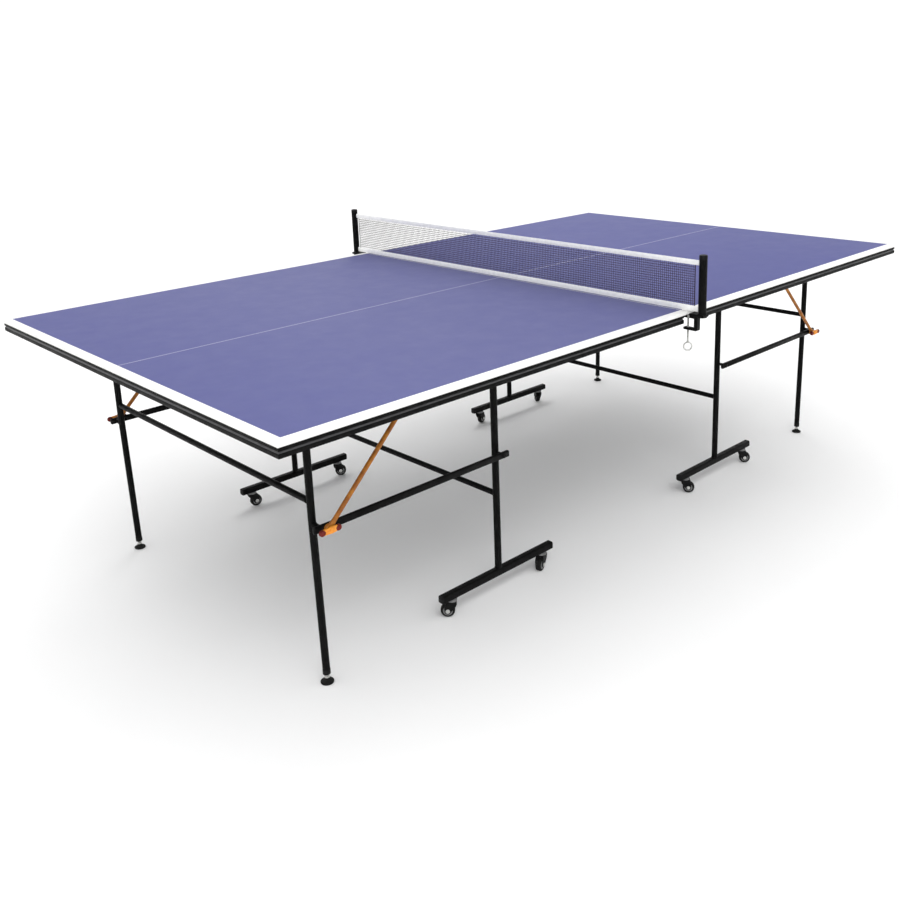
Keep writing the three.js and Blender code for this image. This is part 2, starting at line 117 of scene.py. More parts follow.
def material(name, base, roughness=0.5, metallic=0.0, **sockets):
    """A new material with a Principled shader; further sockets are given by name."""
    made = bpy.data.materials.new(name)
    made.use_nodes = True
    shader = made.node_tree.nodes["Principled BSDF"]
    shader.inputs["Base Color"].default_value = (*base, 1)
    shader.inputs["Roughness"].default_value = roughness
    shader.inputs["Metallic"].default_value = metallic
    for socket, value in sockets.items():
        shader.inputs[socket.replace("_", " ")].default_value = value
    made.diffuse_color = (*base, 1)
    return made


def node(made, kind, **settings):
    """A node with attributes and sockets set by name."""
    made_node = made.node_tree.nodes.new(kind)
    for key, value in settings.items():
        if hasattr(made_node, key):
            setattr(made_node, key, value)
        else:
            made_node.inputs[key.replace("_", " ")].default_value = value
    return made_node


def link(made, source, output, target, socket):
    made.node_tree.links.new(source.outputs[output], target.inputs[socket])


def noise(made, size_mm, detail=3.0, stretch=(1, 1, 1)):
    """Noise whose lumps are about size_mm across, in the piece's own coordinates."""
    place = node(made, "ShaderNodeTexCoord")
    mapping = node(made, "ShaderNodeMapping")
    mapping.inputs["Scale"].default_value = stretch
    lumps = node(made, "ShaderNodeTexNoise", Scale=1 / (size_mm * MM), Detail=detail)
    link(made, place, "Object", mapping, "Vector")
    link(made, mapping, "Vector", lumps, "Vector")
    return lumps


def ramp(made, source, output, low, high, start=0.35, stop=0.65):
    """Colours from low to high as the source goes from start to stop."""
    colours = node(made, "ShaderNodeValToRGB")
    colours.color_ramp.elements[0].position = start
    colours.color_ramp.elements[0].color = (*low, 1)
    colours.color_ramp.elements[1].position = stop
    colours.color_ramp.elements[1].color = (*high, 1)
    link(made, source, output, colours, "Fac")
    return colours


def shader_of(made):
    return made.node_tree.nodes["Principled BSDF"]


def mottle(made, low, high, size_mm, detail=3.0, stretch=(1, 1, 1)):
    """Base colour that wanders between two colours."""
    lumps = noise(made, size_mm, detail, stretch)
    colours = ramp(made, lumps, "Fac", low, high)
    link(made, colours, "Color", shader_of(made), "Base Color")


def rough_patches(made, low, high, size_mm, stretch=(1, 1, 1)):
    """Roughness that wanders between two values."""
    lumps = noise(made, size_mm, 4.0, stretch)
    spread = node(made, "ShaderNodeMapRange", From_Min=0.3, From_Max=0.7, To_Min=low, To_Max=high)
    link(made, lumps, "Fac", spread, "Value")
    link(made, spread, "Result", shader_of(made), "Roughness")


def grain(made, size_mm, strength, height_mm=0.2, stretch=(1, 1, 1)):
    """A fine bump."""
    lumps = noise(made, size_mm, 2.0, stretch)
    bump = node(made, "ShaderNodeBump", Strength=strength, Distance=height_mm * MM)
    link(made, lumps, "Fac", bump, "Height")
    link(made, bump, "Normal", shader_of(made), "Normal")


def weave(made, pitch_mm, strength):
    """Crossed ribs of cloth as a bump."""
    place = node(made, "ShaderNodeTexCoord")
    bump = node(made, "ShaderNodeBump", Strength=strength, Distance=0.3 * MM)
    waves = []
    for direction in ("Y", "Z"):
        wave = node(made, "ShaderNodeTexWave", bands_direction=direction, Scale=math.pi / (10 * pitch_mm * MM))
        link(made, place, "Object", wave, "Vector")
        waves.append(wave)
    both = node(made, "ShaderNodeMath", operation="MULTIPLY")
    for i, wave in enumerate(waves):
        made.node_tree.links.new(wave.outputs["Fac"], both.inputs[i])
    link(made, both, "Value", bump, "Height")
    link(made, bump, "Normal", shader_of(made), "Normal")


def make_materials():
    made = {}

    blue = material("blue_playing_paint", (0.091, 0.098, 0.265), 0.6, Specular_IOR_Level=0.2)
    mottle(blue, (0.0895, 0.0965, 0.262), (0.0925, 0.0995, 0.268), 25)
    rough_patches(blue, 0.57, 0.63, 60)
    grain(blue, 0.9, 0.12, 0.1)
    made["blue"] = blue

    white = material("white_line_paint", (0.86, 0.86, 0.85), 0.45)
    mottle(white, (0.88, 0.88, 0.87), (0.92, 0.92, 0.91), 40)
    rough_patches(white, 0.40, 0.55, 30)
    grain(white, 0.9, 0.1, 0.1)
    made["white"] = white

    pale = material("pale_centre_line", (0.27, 0.27, 0.43), 0.5)
    mottle(pale, (0.25, 0.25, 0.41), (0.30, 0.30, 0.46), 40)
    made["pale"] = pale

    edge = material("white_edge_paint", (0.88, 0.88, 0.87), 0.5)
    mottle(edge, (0.85, 0.85, 0.83), (0.91, 0.91, 0.90), 25, 4.0)
    grain(edge, 1.5, 0.25, 0.2, (1, 1, 3))
    made["edge"] = edge

    board = material("sealed_board_underside", (0.10, 0.11, 0.12), 0.7)
    mottle(board, (0.075, 0.08, 0.09), (0.14, 0.145, 0.15), 6, 6.0)
    grain(board, 2.2, 0.3, 0.3)
    made["underside"] = board

    black = material("black_powder_coat", (0.003, 0.003, 0.003), 0.45, Specular_IOR_Level=0.07)
    mottle(black, (0.002, 0.002, 0.002), (0.005, 0.005, 0.005), 14)
    rough_patches(black, 0.38, 0.55, 20)
    grain(black, 0.8, 0.25, 0.08)
    made["black"] = black

    # Painted highlight: a lighter, glossier black laid only on the frame groove's sloping face, standing in for the
    # light streak along the apron.
    satin = material("painted_highlight_black_coat", (0.035, 0.035, 0.038), 0.35, Specular_IOR_Level=0.5)
    mottle(satin, (0.028, 0.028, 0.030), (0.045, 0.045, 0.048), 18)
    grain(satin, 0.8, 0.2, 0.08)
    made["satin"] = satin

    orange = material("orange_powder_coat", (0.36, 0.11, 0.010), 0.42, Specular_IOR_Level=0.3)
    mottle(orange, (0.26, 0.078, 0.008), (0.45, 0.165, 0.015), 16)
    rough_patches(orange, 0.32, 0.5, 15)
    grain(orange, 0.8, 0.2, 0.08)
    made["orange"] = orange

    lever = material("orange_moulded_plastic", (0.85, 0.30, 0.02), 0.4)
    mottle(lever, (0.78, 0.26, 0.015), (0.90, 0.35, 0.03), 10)
    rough_patches(lever, 0.34, 0.48, 8)
    grain(lever, 0.5, 0.15, 0.06)
    made["orange_plastic"] = lever

    red = material("dark_red_plastic", (0.14, 0.010, 0.006), 0.5, Specular_IOR_Level=0.2)
    mottle(red, (0.11, 0.008, 0.005), (0.17, 0.014, 0.008), 8)
    grain(red, 0.5, 0.15, 0.06)
    made["red"] = red

    plastic = material("black_moulded_plastic", (0.005, 0.005, 0.005), 0.5, Specular_IOR_Level=0.12)
    mottle(plastic, (0.003, 0.003, 0.003), (0.008, 0.008, 0.008), 12)
    rough_patches(plastic, 0.42, 0.6, 10)
    grain(plastic, 0.45, 0.2, 0.06)
    made["plastic"] = plastic

    grey = material("grey_moulded_plastic", (0.22, 0.22, 0.22), 0.5)
    mottle(grey, (0.18, 0.18, 0.18), (0.28, 0.28, 0.28), 8)
    grain(grey, 0.45, 0.2, 0.06)
    made["grey"] = grey

    rubber = material("black_rubber", (0.008, 0.008, 0.008), 0.75, Specular_IOR_Level=0.14)
    mottle(rubber, (0.005, 0.005, 0.005), (0.014, 0.014, 0.013), 9, 5.0)
    rough_patches(rubber, 0.65, 0.85, 9)
    grain(rubber, 0.7, 0.3, 0.1)
    made["rubber"] = rubber

    zinc = material("zinc_plating", (0.60, 0.60, 0.58), 0.3, 1.0)
    mottle(zinc, (0.52, 0.52, 0.50), (0.68, 0.68, 0.66), 5, 4.0)
    rough_patches(zinc, 0.22, 0.42, 6)
    made["zinc"] = zinc

    cord = material("net_cord", (0.030, 0.019, 0.026), 0.9, Specular_IOR_Level=0.2)
    mottle(cord, (0.022, 0.014, 0.019), (0.040, 0.026, 0.034), 5)
    grain(cord, 0.35, 0.5, 0.12)
    made["cord"] = cord

    tape = material("white_tape", (0.91, 0.91, 0.90), 0.85, Sheen_Weight=0.3)
    mottle(tape, (0.87, 0.87, 0.85), (0.95, 0.95, 0.94), 12, 4.0)
    weave(tape, 0.9, 0.5)
    made["tape"] = tape
    return made


MATERIALS = make_materials()


# ---- Shapes ----

class Shape:
    """Gathers closed skins, each with a finish, and becomes one mesh."""

    def __init__(self):
        self.points = []
        self.faces = []
        self.finishes = []

    def add(self, points, faces, finish):
        start = len(self.points)
        self.points.extend(Vector(p) for p in points)
        self.faces.extend([start + i for i in face] for face in faces)
        self.finishes.extend([finish] * len(faces) if isinstance(finish, str) else finish)

    def turn(self, matrix):
        self.points = [matrix @ p for p in self.points]
        return self

    def merge(self, other):
        start = len(self.points)
        self.points.extend(other.points)
        self.faces.extend([start + i for i in face] for face in other.faces)
        self.finishes.extend(other.finishes)
        return self


def loft(shape, rings, finish, closed=False):
    """Skins rings of equal length in order, with flat ends unless the last meets the first."""
    count = len(rings[0])
    points = [p for ring in rings for p in ring]
    faces = []
    spans = len(rings) if closed else len(rings) - 1
    for i in range(spans):
        a = i * count
        b = (i + 1) % len(rings) * count
        for j in range(count):
            k = (j + 1) % count
            faces.append((a + j, a + k, b + k, b + j))
    if not closed:
        faces.append(tuple(range(count - 1, -1, -1)))
        faces.append(tuple((len(rings) - 1) * count + j for j in range(count)))
    shape.add(points, faces, finish)


def circle(radius, sides=ROUND_SIDES):
    return [
        (radius * math.cos(2 * math.pi * i / sides), radius * math.sin(2 * math.pi * i / sides))
        for i in range(sides)
    ]


def rounded_rectangle(width, height, radius, steps=3):
    """The outline of a rectangle about the origin with round corners."""
    outline = []
    for corner in range(4):
        sx, sy = ((1, 1), (-1, 1), (-1, -1), (1, -1))[corner]
        for step in range(steps + 1):
            angle = (corner + step / steps) * math.pi / 2
            outline.append((
                sx * (width / 2 - radius) + radius * math.cos(angle),
                sy * (height / 2 - radius) + radius * math.sin(angle),
            ))
    return outline


def axes_along(direction, up=Vector((0, 0, 1))):
    """Two unit vectors across a direction, the second nearest to up."""
    d = direction.normalized()
    if abs(d.dot(up)) > 0.99:
        up = Vector((0, 1, 0))
    side = d.cross(up).normalized()
    return side, side.cross(d).normalized()


def sweep(shape, path, outline, finish, chamfer=0.0, up=Vector((0, 0, 1)), closed=False):
    """Carries an outline along a path with mitred corners."""
    points = [Vector(p) for p in path]
    count = len(points)
    directions = []
    for i in range(count):
        before = points[i] - points[i - 1] if i or closed else None
        after = points[(i + 1) % count] - points[i] if i < count - 1 or closed else None
        parts = [d.normalized() for d in (before, after) if d is not None]
        directions.append((sum(parts, Vector()).normalized(), parts))
    rings = []
    for point, (direction, parts) in zip(points, directions):
        side, across = axes_along(direction, up)
        stretch = 1 / max(0.3, direction.dot(parts[0]))
        rings.append([point + side * (x * stretch) + across * y for x, y in outline])
    if chamfer and not closed:
        rings = chamfer_ends(rings, chamfer)
    loft(shape, rings, finish, closed)


def chamfer_ends(rings, chamfer):
    """The rings with their two ends drawn in by the chamfer."""
    def drawn_in(end, inner):
        centre = sum(end, Vector()) / len(end)
        inward = (sum(inner, Vector()) / len(inner) - centre).normalized() * chamfer
        small = [centre + (p - centre) * (1 - chamfer / max(chamfer * 1.01, (p - centre).length)) for p in end]
        return small, [p + inward for p in end]
    first, second = drawn_in(rings[0], rings[1])
    last, before = drawn_in(rings[-1], rings[-2])
    return [first, second, *rings[1:-1], before, last]


def tube(shape, path, radius, finish, sides=ROUND_SIDES, chamfer=0.6):
    sweep(shape, path, circle(radius, sides), finish, chamfer)


def lathe(shape, profile, origin, axis, finish, sides=ROUND_SIDES, closed=False):
    """Turns a profile of (radius, height) about an axis; finish may be a list, one per span."""
    origin = Vector(origin)
    axis = Vector(axis).normalized()
    side, across = axes_along(axis)
    rings = []
    for radius, height in profile:
        ring = [origin + axis * height + side * x + across * y for x, y in circle(max(radius, 0.01), sides)]
        rings.append(ring)
    if isinstance(finish, str):
        loft(shape, rings, finish, closed)
        return
    spans = [f for f in finish for _ in range(sides)]
    loft(shape, rings, spans if closed else [*spans, finish[0], finish[-1]], closed)


def prism(shape, outline, origin, x_axis, y_axis, depth, finish, chamfer=0.5):
    """A plate: an outline in the plane of two axes, thickened both ways from the origin."""
    origin, x_axis, y_axis = Vector(origin), Vector(x_axis), Vector(y_axis)
    normal = x_axis.cross(y_axis).normalized()
    small = inset(outline, chamfer)

    def ring(flat, height):
        return [origin + x_axis * x + y_axis * y + normal * height for x, y in flat]

    half = depth / 2
    rings = [ring(small, -half), ring(outline, -half + chamfer), ring(outline, half - chamfer), ring(small, half)]
    loft(shape, rings, finish)


def inset(outline, distance):
    """An outline drawn in by a distance, point by point along its own normals."""
    count = len(outline)
    area = sum(
        outline[i][0] * outline[(i + 1) % count][1] - outline[(i + 1) % count][0] * outline[i][1]
        for i in range(count)
    )
    sign = 1 if area > 0 else -1
    drawn = []
    for i in range(count):
        before = Vector(outline[i]) - Vector(outline[i - 1])
        after = Vector(outline[(i + 1) % count]) - Vector(outline[i])
        normals = [Vector((-d.y, d.x)).normalized() * sign for d in (before, after) if d.length > 1e-9]
        middle = sum(normals, Vector((0, 0)))
        middle = middle.normalized() if middle.length > 1e-9 else normals[0]
        reach = distance / max(0.5, middle.dot(normals[0]))
        drawn.append((outline[i][0] + middle.x * reach, outline[i][1] + middle.y * reach))
    return drawn


def block(shape, low, high, finish, radius=1.0):
    """A box with rounded upright edges and chamfered rims."""
    low, high = Vector(low), Vector(high)
    centre = (low + high) / 2
    size = high - low
    outline = rounded_rectangle(size.x, size.y, min(radius, size.x / 2.1, size.y / 2.1), 2)
    chamfer = min(radius * 0.6, size.z / 4, radius * 0.95)
    prism(shape, outline, centre, (1, 0, 0), (0, 1, 0), size.z, finish, chamfer)


def button_head(shape, point, outward, radius, height, finish="zinc"):
    """A low domed head with a socket."""
    profile = [(radius, 0), (radius, height * 0.25), (radius * 0.9, height * 0.62), (radius * 0.62, height * 0.9)]
    profile += [(radius * 0.42, height), (radius * 0.38, height * 0.55), (0.01, height * 0.5)]
    lathe(shape, profile, point, outward, finish, SMALL_SIDES)


def weld(shape, centre, axis, radius, bead=1.6, finish="black"):
    """A weld bead round a tube where it meets another piece."""
    axis = Vector(axis).normalized()
    side, across = axes_along(axis)
    sides = 32
    rings = []
    for i in range(sides):
        angle = 2 * math.pi * i / sides
        out = side * math.cos(angle) + across * math.sin(angle)
        size = bead * (1 + 0.12 * math.sin(9 * angle))
        rings.append([
            Vector(centre) + out * (radius + size * math.cos(b)) + axis * (size * math.sin(b))
            for b in (2 * math.pi * k / 6 for k in range(6))
        ])
    loft(shape, rings, finish, closed=True)


def build(name, shape, half, body, stands_for=(), sharp=35):
    """Makes the mesh, turned into its half's place, on its body."""
    shape.turn(TURN[half])
    mesh = bpy.data.meshes.new(name)
    mesh.from_pydata([p * MM for p in shape.points], [], shape.faces)
    order = sorted(set(shape.finishes))
    for finish in order:
        mesh.materials.append(MATERIALS[finish])
    mesh.polygons.foreach_set("material_index", [order.index(f) for f in shape.finishes])
    work = bmesh.new()
    work.from_mesh(mesh)
    bmesh.ops.recalc_face_normals(work, faces=work.faces)
    work.to_mesh(mesh)
    work.free()
    mesh.shade_smooth()
    mesh.set_sharp_from_angle(angle=math.radians(sharp))
    piece = bpy.data.objects.new(name, mesh)
    scene.collection.objects.link(piece)
    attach(piece, body)
    if stands_for:
        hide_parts(*([stands_for] if isinstance(stands_for, str) else stands_for))
    return piece


# ---- Top ----

LINE_WIDTH = 20
CENTRE_LINE = 5


def table_top(half):
    """The board, with its white border and the thin line down its middle in the paint."""
    x0, x1 = BOARD_LOW.x, BOARD_END
    round_x, chamfer = 1.2, 0.8
    xs = [x0, x0 + chamfer, x1 - LINE_WIDTH, x1 - round_x, x1]
    edge = BOARD_EDGE
    half_line = CENTRE_LINE / 2
    ys = [-edge, -edge + round_x, -edge + LINE_WIDTH, -half_line, half_line, edge - LINE_WIDTH, edge - round_x, edge]
    shape = Shape()

    def height(i, j):
        rim = i in (0, len(xs) - 1) or j in (0, len(ys) - 1)
        return TOP_Z - (chamfer if rim else 0)

    grid = [Vector((x, y, height(i, j))) for i, x in enumerate(xs) for j, y in enumerate(ys)]
    faces, finishes = [], []
    rows = len(ys)
    for i in range(len(xs) - 1):
        for j in range(rows - 1):
            faces.append((i * rows + j, (i + 1) * rows + j, (i + 1) * rows + j + 1, i * rows + j + 1))
            border = i >= 2 or j <= 1 or j >= rows - 3
            finishes.append("white" if border else "pale" if j == 3 else "blue")
    rim = [i * rows for i in range(len(xs))]
    rim += [(len(xs) - 1) * rows + j for j in range(1, rows)]
    rim += [i * rows + rows - 1 for i in range(len(xs) - 2, -1, -1)]
    rim += list(range(rows - 2, 0, -1))
    count = len(grid)
    lower = [Vector((grid[i].x, grid[i].y, BOARD_Z + chamfer)) for i in rim]
    middle = Vector(((x0 + x1) / 2, 0, 0))
    under = []
    for p in lower:
        inward = Vector((math.copysign(chamfer, middle.x - p.x), math.copysign(chamfer, -p.y), -chamfer))
        on_x = p.x in (x0, x1)
        on_y = abs(p.y) == edge
        under.append(p + Vector((inward.x if on_x else 0, inward.y if on_y else 0, -chamfer)))
    size = len(rim)
    for k in range(size):
        after = (k + 1) % size
        faces.append((rim[k], rim[after], count + after, count + k))
        finishes.append("edge")
        faces.append((count + k, count + after, count + size + after, count + size + k))
        finishes.append("edge")
    faces.append(tuple(count + size + k for k in range(size)))
    finishes.append("underside")
    shape.add(grid + lower + under, faces, finishes)
    return build(f"{half}_table_top", shape, half, f"{half}_top", f"{half}_board", 60)


# Steel frame: where its bars run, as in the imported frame.
BAR = 20
RAIL_Y = 522
INNER_RIB_X = 300
LOCK_RIB_X = 855


# The groove's sloping face carries the painted highlight coat.
GROOVE_SLOPE = 6  # the outline's segment that catches the light


def apron_outline():
    """Section of the outer bar: x outward, y up, with a groove whose lower side slopes out."""
    half = 24.4 / 2
    out = BAR / 2
    return [
        (-out, -half + 2), (-out + 2, -half), (out - 2.5, -half), (out - 0.7, -half + 0.7), (out, -half + 2.5),
        (out, -1.4), (out - 0.5, -0.6), (out - 3.2, 3.0), (out - 3.2, 3.8), (out - 0.6, 4.4), (out, 5.2),
        (out, half - 2.5), (out - 0.7, half - 0.7), (out - 2.5, half), (-out + 2, half), (-out, half - 2),
    ]


def steel_frame(half):
    low, high = (FRAME_LOW, FRAME_HIGH) if half == "right" else (-LEFT_FRAME_HIGH, -LEFT_FRAME_LOW)
    start, end = low.x, FRAME_HIGH.x
    edge = FRAME_HIGH.y
    z = (BOARD_Z + BOARD_Z - 25) / 2
    shape = Shape()
    inset_by = BAR / 2
    loop = [
        (start + inset_by, -edge + inset_by, z), (end - inset_by, -edge + inset_by, z),
        (end - inset_by, edge - inset_by, z), (start + inset_by, edge - inset_by, z),
    ]
    section = apron_outline()
    # painted highlight: the sloping face of the groove gets the lighter coat, every other face plain black
    coats = ["satin" if i == GROOVE_SLOPE else "black" for i in range(len(section))]
    sweep(shape, loop, section, coats * len(loop), closed=True)
    inner = rounded_rectangle(BAR, 24, 2.5, 3)
    for side in (-1, 1):
        y = side * RAIL_Y
        sweep(shape, [(start + BAR - 0.5, y, z), (end - BAR + 0.5, y, z)], inner, "black")
        y0, y1 = side * (RAIL_Y + 9.5), side * (edge - BAR + 0.5)
        for x in (INNER_RIB_X, LOCK_RIB_X):
            sweep(shape, [(x, y0, z), (x, y1, z)], inner, "black")
        hinge_plate(shape, POST_X, side * POST_Y)
        hinge_plate(shape, LEG_X, side * LEG_Y)
        keeper(shape, side)
    for x in (INNER_RIB_X, LEG_X):
        sweep(shape, [(x, -RAIL_Y + 9.5, z), (x, RAIL_Y - 9.5, z)], inner, "black")
    for x, y in frame_screws(start + inset_by, end - inset_by, edge - inset_by):
        button_head(shape, (x, y, z - 12.2), (0, 0, -1), 4, 2.2)
    return build(f"{half}_steel_frame", shape, half, f"{half}_top", f"{half}_top_frame")


def frame_screws(x0, x1, y):
    """Board screws up through the bars, in pairs across the table."""
    places = [(x, s * y) for x in (x0 + 60, (x0 + x1) / 2 - 130, (x0 + x1) / 2 + 190, x1 - 60) for s in (-1, 1)]
    places += [(x, s * 350) for x in (INNER_RIB_X, LEG_X, x1) for s in (-1, 1)]
    places += [(x, s * RAIL_Y) for x in (x0 + 110, 700, 1010) for s in (-1, 1)]
    return places


def hinge_plate(shape, x, y):
    """The ear that hangs from the frame into a tube's slotted head, with its weld pads."""
    radius, rise = 9.6, BOARD_Z - 24.5 - HINGE.z
    outline = [(radius, rise), (-radius, rise)]
    outline += [(radius * math.cos(a), radius * math.sin(a)) for a in (math.pi + math.pi * i / 12 for i in range(13))]
    prism(shape, outline, (x, y, HINGE.z), (1, 0, 0), (0, 0, 1), 5.6, "black", 0.5)
    block(shape, (x - 15, y - 6, BOARD_Z - 26), (x + 15, y + 6, BOARD_Z - 23), "black", 2)


def keeper(shape, side):
    """The catch block under the lock rib that the strut's end bears on."""
    y = side * STRUT_PIVOT.y
    low = STRUT_HIGH.z + 1.5
    block(shape, (LOCK_RIB_X - 8, y - 7.4, low), (LOCK_RIB_X + 8, y + 7.4, BOARD_Z - 23), "black", 1.5)
    for x in (LOCK_RIB_X - 13, LOCK_RIB_X + 13):
        block(shape, (x - 3, y - 7, BOARD_Z - 27), (x + 3, y + 7, BOARD_Z - 24), "black", 1.2)


# ---- Trolley ----

POST_RADIUS = 10
TUBE_TOP = 8


def slotted_head(shape, x, y, radius, z_from):
    """Two cheeks either side of an ear, with the hinge pin's heads outside."""
    thickness = radius - 0.8 - 3.4
    for sign in (-1, 1):
        middle = y + sign * (3.4 + thickness / 2)
        outline = [(-radius * 0.86, z_from - HINGE.z), (radius * 0.86, z_from - HINGE.z)]
        outline += [(radius * 0.86, 0)]
        outline += [
            (radius * 0.86 * math.cos(a), TUBE_TOP * math.sin(a))
            for a in (math.pi * i / 10 for i in range(1, 10))
        ]
        outline += [(-radius * 0.86, 0)]
        prism(shape, outline, (x, middle, HINGE.z), (1, 0, 0), (0, 0, 1), thickness, "black", 0.8)
        lathe(shape, [(4.2, 0), (4.2, 0.8), (3.2, 1.3), (0.5, 1.5)],
              (x, y + sign * (radius - 1.4), HINGE.z), (0, sign, 0), "plastic", SMALL_SIDES)


def post(half, name, side):
    y = side * POST_Y
    shape = Shape()
    bottom = BAR_HIGH.z + 0.3
    neck = HINGE.z - 15
    tube(shape, [(POST_X, y, bottom), (POST_X, y, neck)], POST_RADIUS, "black")
    slotted_head(shape, POST_X, y, POST_RADIUS, neck - 1)
    weld(shape, (POST_X, y, bottom + 0.9), (0, 0, 1), POST_RADIUS - 0.4)
    origin = (POST_X, y, LINK_Z)
    lathe(shape, [(4.9, POST_RADIUS - 1), (4.9, LINK_OUTER + 0.5 - POST_Y)], origin, (0, side, 0), "plastic", SMALL_SIDES)
    button_head(shape, (POST_X, side * (LINK_OUTER + 0.4), LINK_Z), (0, side, 0), 7.8, 2.9, "plastic")
    return build(f"{name}_post_tube", shape, half, f"{half}_trolley", f"{name}_post")


def base_bar(half, name, side):
    y = side * POST_Y
    shape = Shape()
    size = BAR_HIGH.z - BAR_LOW.z
    outline = rounded_rectangle(size, size, 5, 5)
    x0, x1 = BAR_LOW.x + 3.2, BAR_HIGH.x - 3.2
    sweep(shape, [(x0, y, BAR_Z), (x1, y, BAR_Z)], outline, "black", 0.6)
    for end, sign in ((x0, -1), (x1, 1)):
        cap = [(0.0, 1.0), (1.4, 1.0), (2.4, 0.92), (3.0, 0.74), (3.2, 0.5)]
        rings = [
            [Vector((end + sign * depth, y + a * share, BAR_Z + b * share)) for a, b in outline]
            for depth, share in cap
        ]
        loft(shape, rings, "plastic")
        lathe(shape, [(5.2, 2.9), (5.2, 3.1), (0.2, 3.15)], (end, y, BAR_Z), (sign, 0, 0), "grey", SMALL_SIDES)
    for x in (POST_X - 180, POST_X + 180):
        lathe(shape, [(6.5, 0), (6.5, 0.9), (5.6, 1.4), (0.3, 1.6)], (x, y, BAR_HIGH.z - 1.7), (0, 0, 1), "plastic", SMALL_SIDES)
    return build(f"{name}_base_bar_tube", shape, half, f"{half}_trolley", f"{name}_base_bar")


def crossbar(half, label, body, low, high, x):
    """A round bar between two tubes, with weld beads at its ends."""
    shape = Shape()
    radius = (high.z - low.z) / 2
    z = (high.z + low.z) / 2
    tube(shape, [(x, low.y, z), (x, high.y, z)], radius, "black")
    for y in (low.y + 1.5, high.y - 1.5):
        weld(shape, (x, y, z), (0, 1, 0), radius - 0.9, 1.4)
    return build(f"{half}_{label}_tube", shape, half, body, f"{half}_{label}")


# ---- Casters: made with the swivel axis at the origin and the wheel trailing along +x ----

WHEEL_RADIUS = 20
TRAIL = 12


def caster_shapes():
    """The hooded fork and the wheel of a caster."""
    body = Shape()
    top = BAR_LOW.z - 0.3
    # the swivel race under the bar
    race = [(4, 0), (14.8, 0), (14.8, 1.5), (13.2, 2.1), (13.2, 2.9), (14.4, 3.4), (14.4, 4.6), (12.5, 5.2), (4, 5.2)]
    lathe(body, [(r, top - h) for r, h in race], (0, 0, 0), (0, 0, 1), "grey", ROUND_SIDES, closed=True)
    hood(body)
    outer = 12.5
    for sign in (-1, 1):
        lathe(body, [(6.2, outer - 0.2), (6.2, outer + 0.8), (5.6, outer + 1.1)],
              (TRAIL, 0, WHEEL_RADIUS), (0, sign, 0), "zinc", SMALL_SIDES)
        lathe(body, [(4.6, outer + 0.8), (4.6, outer + 1.7), (3.6, outer + 2.0), (0.3, outer + 2.0)],
              (TRAIL, 0, WHEEL_RADIUS), (0, sign, 0), "zinc", 6)
    lathe(body, [(3, -outer), (3, outer)], (TRAIL, 0, WHEEL_RADIUS), (0, 1, 0), "zinc", SMALL_SIDES)
    return body, wheel_shape()


def hood(shape):
    """Two cheeks hung from a crown over the wheel."""
    inner, outer = 10.0, 12.5
    steps = 10
    nose = [
        (TRAIL + 9 * math.cos(a), WHEEL_RADIUS + 9 * math.sin(a))
        for a in (math.pi + math.pi * i / steps for i in range(1, steps))
    ]
    cheek = [(-13.4, 47.2), (-13.8, 42), (-11.0, 34), (-2.5, 24), *nose]
    cheek += [(TRAIL + 9.5, WHEEL_RADIUS + 8), (TRAIL + 8, 34), (16.4, 42), (15.8, 47.2)]
    for sign in (-1, 1):
        y = sign * (inner + outer) / 2
        prism(shape, cheek, (0, y, 0), (1, 0, 0), (0, 0, 1), outer - inner, "plastic", 0.6)
    crown = [(-13.6, 43.2), (-12.2, 42.0), (14.6, 42.0), (15.8, 43.2), (15.8, 46.4), (14.2, 47.8), (-12, 47.8), (-13.6, 46.2)]
    prism(shape, crown, (0, 0, 0), (1, 0, 0), (0, 0, 1), 2 * outer - 1.0, "plastic", 0.4)


def wheel_shape():
    """A solid tyre on a dished hub, about its axle."""
    shape = Shape()
    half = 9.0
    bore = 3.3
    tyre = [(13.2, -half + 0.8), (16.5, -half + 0.4), (18.6, -half + 1.6), (19.7, -half + 3.6), (20, -2.4), (19.4, -1.6),
            (19.4, 1.6), (20, 2.4), (19.7, half - 3.6), (18.6, half - 1.6), (16.5, half - 0.4), (13.2, half - 0.8)]
    hub = [(bore, -half + 0.1), (6.2, -half + 0.1), (6.6, -half + 1.6), (11.6, -half + 2.2), (12.4, -half + 0.7), (13.4, -half + 0.7),
           (13.4, half - 0.7), (12.4, half - 0.7), (11.6, half - 2.2), (6.6, half - 1.6), (6.2, half - 0.1), (bore, half - 0.1)]
    lathe(shape, tyre, (TRAIL, 0, WHEEL_RADIUS), (0, 1, 0), "rubber", 36, closed=True)
    lathe(shape, hub, (TRAIL, 0, WHEEL_RADIUS), (0, 1, 0), "grey", 36, closed=True)
    return shape


def caster(half, name, place):
    """The fork and wheel of one caster, turned the way its axle lies."""
    roll = joints[f"{name}_{place}_roll"]
    swivel = Vector(joints[f"{name}_{place}_swivel"]["pos_m"]) / MM
    axle = Vector(roll["pos_m"]) / MM
    angle = math.atan2(axle.y - swivel.y, axle.x - swivel.x)
    at = Matrix.Translation((swivel.x, swivel.y, 0)) @ Matrix.Rotation(angle, 4, "Z")
    body, wheel = caster_shapes()
    label = f"{name}_{place}"
    build(f"{label}_caster_housing", body.turn(at), "table", f"{label}_caster", f"{label}_caster_fork")
    build(f"{label}_caster_tyre", wheel.turn(at), "table", f"{label}_wheel", f"{label}_caster_wheel")


# ---- End legs ----

LEG_RADIUS = 9.5
LEG_BEND_Z = 455


